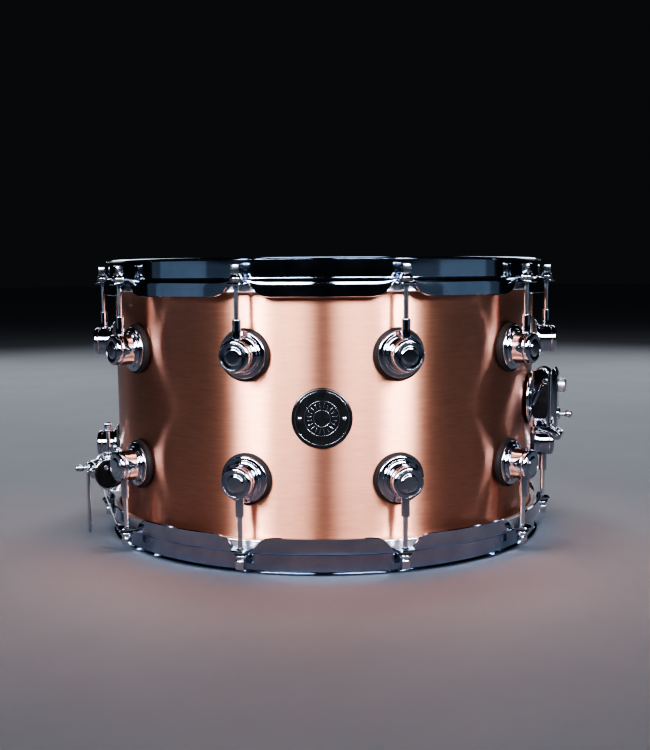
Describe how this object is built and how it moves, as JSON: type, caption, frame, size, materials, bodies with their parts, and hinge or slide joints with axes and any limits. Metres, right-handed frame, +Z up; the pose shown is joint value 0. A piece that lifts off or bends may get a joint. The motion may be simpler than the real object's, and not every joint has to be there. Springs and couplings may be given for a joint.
{
  "type": "snare drum",
  "caption": "Deep copper-shelled snare drum with flanged hoops, turret lugs, key rods, throw-off strainer, snare wires and a flip damper.",
  "frame": {"origin": "on the drum's axis, at the underside of the bottom hoop's rim that the drum stands on", "axes": "+Z up along the drum's axis, -Y out through the badge, +X to the right of the badge"},
  "size_m": [0.4089, 0.387, 0.228],
  "materials": {
    "copper_shell": "copper, brushed round the shell and lacquered",
    "chrome_hoop": "polished chrome plate on bent steel",
    "chrome_lug": "polished chrome plate on turned metal",
    "chrome_mechanism": "polished chrome plate on cast metal",
    "plated_rod": "plated steel, threaded",
    "aluminium_hoop": "satin aluminium",
    "coated_film": "white sprayed coating on polyester film",
    "clear_film": "thin hazy polyester film",
    "badge_enamel": "black enamel with a chrome ring",
    "black_cap": "black enamel",
    "black_rubber": "matt black gasket",
    "snare_wire": "coiled steel wire",
    "strap_plastic": "clear plastic strap",
    "damper_felt": "pressed felt on a spring-steel arm"
  },
  "bodies": {
    "drum": {"shell": "copper_shell", "badge": "badge_enamel", "batter_head": "coated_film", "batter_flesh_hoop": "aluminium_hoop", "top_hoop": "chrome_hoop", "snare_head": "clear_film", "snare_flesh_hoop": "aluminium_hoop", "bottom_hoop": "chrome_hoop", "lug_top_01": "chrome_lug", "lug_top_02": "chrome_lug", "lug_top_03": "chrome_lug", "lug_top_04": "chrome_lug", "lug_top_05": "chrome_lug", "lug_top_06": "chrome_lug", "lug_top_07": "chrome_lug", "lug_top_08": "chrome_lug", "lug_top_09": "chrome_lug", "lug_top_10": "chrome_lug", "lug_bottom_01": "chrome_lug", "lug_bottom_02": "chrome_lug", "lug_bottom_03": "chrome_lug", "lug_bottom_04": "chrome_lug", "lug_bottom_05": "chrome_lug", "lug_bottom_06": "chrome_lug", "lug_bottom_07": "chrome_lug", "lug_bottom_08": "chrome_lug", "lug_bottom_09": "chrome_lug", "lug_bottom_10": "chrome_lug", "strainer_housing": "chrome_mechanism", "strainer_side_cap": "black_cap", "butt_block": "chrome_mechanism", "butt_clamp_plate": "chrome_mechanism", "damper_housing": "chrome_mechanism"},
    "strainer_lever": {"strainer_lever": "chrome_mechanism"},
    "strainer_slider": {"strainer_slider": "chrome_mechanism"},
    "strainer_key_screw": {"strainer_key_screw": "plated_rod"},
    "snare_wires": {"snare_wires": "snare_wire"},
    "damper_lever": {"damper_lever": "chrome_mechanism"},
    "damper_knob": {"damper_knob": "chrome_mechanism"},
    "damper_arm": {"damper_arm": "damper_felt"},
    "tension_rod_top_01": {"tension_rod_top_01": "plated_rod"},
    "tension_rod_top_02": {"tension_rod_top_02": "plated_rod"},
    "tension_rod_top_03": {"tension_rod_top_03": "plated_rod"},
    "tension_rod_top_04": {"tension_rod_top_04": "plated_rod"},
    "tension_rod_top_05": {"tension_rod_top_05": "plated_rod"},
    "tension_rod_top_06": {"tension_rod_top_06": "plated_rod"},
    "tension_rod_top_07": {"tension_rod_top_07": "plated_rod"},
    "tension_rod_top_08": {"tension_rod_top_08": "plated_rod"},
    "tension_rod_top_09": {"tension_rod_top_09": "plated_rod"},
    "tension_rod_top_10": {"tension_rod_top_10": "plated_rod"},
    "tension_rod_bottom_01": {"tension_rod_bottom_01": "plated_rod"},
    "tension_rod_bottom_02": {"tension_rod_bottom_02": "plated_rod"},
    "tension_rod_bottom_03": {"tension_rod_bottom_03": "plated_rod"},
    "tension_rod_bottom_04": {"tension_rod_bottom_04": "plated_rod"},
    "tension_rod_bottom_05": {"tension_rod_bottom_05": "plated_rod"},
    "tension_rod_bottom_06": {"tension_rod_bottom_06": "plated_rod"},
    "tension_rod_bottom_07": {"tension_rod_bottom_07": "plated_rod"},
    "tension_rod_bottom_08": {"tension_rod_bottom_08": "plated_rod"},
    "tension_rod_bottom_09": {"tension_rod_bottom_09": "plated_rod"},
    "tension_rod_bottom_10": {"tension_rod_bottom_10": "plated_rod"}
  },
  "joints": [
    {"name": "strainer_lever_throw", "type": "hinge", "parent": "drum", "child": "strainer_lever", "pos_m": [-0.19192, -0.06236, 0.057], "axis": [-0.309, 0.9511, 0], "range_deg": [0, 90]},
    {"name": "strainer_slider_drop", "type": "slide", "parent": "drum", "child": "strainer_slider", "axis": [0, 0, -1], "range_m": [0, 0.005]},
    {"name": "snare_wires_drop", "type": "hinge", "parent": "drum", "child": "snare_wires", "pos_m": [0.18203, 0.05915, 0.043], "axis": [0.309, -0.9511, 0], "range_deg": [0, 0.77]},
    {"name": "strainer_key_turn", "type": "hinge", "parent": "strainer_slider", "child": "strainer_key_screw", "pos_m": [-0.17918, -0.05822, 0.09], "axis": [0, 0, 1], "continuous": true},
    {"name": "damper_lever_flip", "type": "hinge", "parent": "drum", "child": "damper_lever", "pos_m": [0.1924, -0.06251, 0.084], "axis": [0.309, 0.9511, 0], "range_deg": [0, 90]},
    {"name": "damper_arm_lift", "type": "hinge", "parent": "drum", "child": "damper_arm", "pos_m": [0.15502, -0.05037, 0.114], "axis": [0.309, 0.9511, 0], "range_deg": [0, 4]},
    {"name": "damper_knob_turn", "type": "hinge", "parent": "damper_lever", "child": "damper_knob", "pos_m": [0.19382, -0.06298, 0.125], "axis": [0.9511, -0.309, 0], "continuous": true},
    {"name": "tension_top_01", "type": "hinge", "parent": "drum", "child": "tension_rod_top_01", "pos_m": [0.05933, -0.1826, 0.2094], "axis": [0, 0, 1], "continuous": true},
    {"name": "tension_top_02", "type": "hinge", "parent": "drum", "child": "tension_rod_top_02", "pos_m": [0.15533, -0.11285, 0.2094], "axis": [0, 0, 1], "continuous": true},
    {"name": "tension_top_03", "type": "hinge", "parent": "drum", "child": "tension_rod_top_03", "pos_m": [0.192, 0, 0.2094], "axis": [0, 0, 1], "continuous": true},
    {"name": "tension_top_04", "type": "hinge", "parent": "drum", "child": "tension_rod_top_04", "pos_m": [0.15533, 0.11285, 0.2094], "axis": [0, 0, 1], "continuous": true},
    {"name": "tension_top_05", "type": "hinge", "parent": "drum", "child": "tension_rod_top_05", "pos_m": [0.05933, 0.1826, 0.2094], "axis": [0, 0, 1], "continuous": true},
    {"name": "tension_top_06", "type": "hinge", "parent": "drum", "child": "tension_rod_top_06", "pos_m": [-0.05933, 0.1826, 0.2094], "axis": [0, 0, 1], "continuous": true},
    {"name": "tension_top_07", "type": "hinge", "parent": "drum", "child": "tension_rod_top_07", "pos_m": [-0.15533, 0.11285, 0.2094], "axis": [0, 0, 1], "continuous": true},
    {"name": "tension_top_08", "type": "hinge", "parent": "drum", "child": "tension_rod_top_08", "pos_m": [-0.192, 0, 0.2094], "axis": [0, 0, 1], "continuous": true},
    {"name": "tension_top_09", "type": "hinge", "parent": "drum", "child": "tension_rod_top_09", "pos_m": [-0.15533, -0.11285, 0.2094], "axis": [0, 0, 1], "continuous": true},
    {"name": "tension_top_10", "type": "hinge", "parent": "drum", "child": "tension_rod_top_10", "pos_m": [-0.05933, -0.1826, 0.2094], "axis": [0, 0, 1], "continuous": true},
    {"name": "tension_bottom_01", "type": "hinge", "parent": "drum", "child": "tension_rod_bottom_01", "pos_m": [0.05933, -0.1826, 0.0186], "axis": [0, 0, 1], "continuous": true},
    {"name": "tension_bottom_02", "type": "hinge", "parent": "drum", "child": "tension_rod_bottom_02", "pos_m": [0.15533, -0.11285, 0.0186], "axis": [0, 0, 1], "continuous": true},
    {"name": "tension_bottom_03", "type": "hinge", "parent": "drum", "child": "tension_rod_bottom_03", "pos_m": [0.192, 0, 0.0186], "axis": [0, 0, 1], "continuous": true},
    {"name": "tension_bottom_04", "type": "hinge", "parent": "drum", "child": "tension_rod_bottom_04", "pos_m": [0.15533, 0.11285, 0.0186], "axis": [0, 0, 1], "continuous": true},
    {"name": "tension_bottom_05", "type": "hinge", "parent": "drum", "child": "tension_rod_bottom_05", "pos_m": [0.05933, 0.1826, 0.0186], "axis": [0, 0, 1], "continuous": true},
    {"name": "tension_bottom_06", "type": "hinge", "parent": "drum", "child": "tension_rod_bottom_06", "pos_m": [-0.05933, 0.1826, 0.0186], "axis": [0, 0, 1], "continuous": true},
    {"name": "tension_bottom_07", "type": "hinge", "parent": "drum", "child": "tension_rod_bottom_07", "pos_m": [-0.15533, 0.11285, 0.0186], "axis": [0, 0, 1], "continuous": true},
    {"name": "tension_bottom_08", "type": "hinge", "parent": "drum", "child": "tension_rod_bottom_08", "pos_m": [-0.192, 0, 0.0186], "axis": [0, 0, 1], "continuous": true},
    {"name": "tension_bottom_09", "type": "hinge", "parent": "drum", "child": "tension_rod_bottom_09", "pos_m": [-0.15533, -0.11285, 0.0186], "axis": [0, 0, 1], "continuous": true},
    {"name": "tension_bottom_10", "type": "hinge", "parent": "drum", "child": "tension_rod_bottom_10", "pos_m": [-0.05933, -0.1826, 0.0186], "axis": [0, 0, 1], "continuous": true}
  ],
  "couplings": [
    {"joint": "strainer_slider_drop", "follows": "strainer_lever_throw", "m_per_rad": 0.00318},
    {"joint": "snare_wires_drop", "follows": "strainer_lever_throw", "ratio": 0.0085},
    {"joint": "damper_arm_lift", "follows": "damper_lever_flip", "ratio": 0.0444}
  ]
}
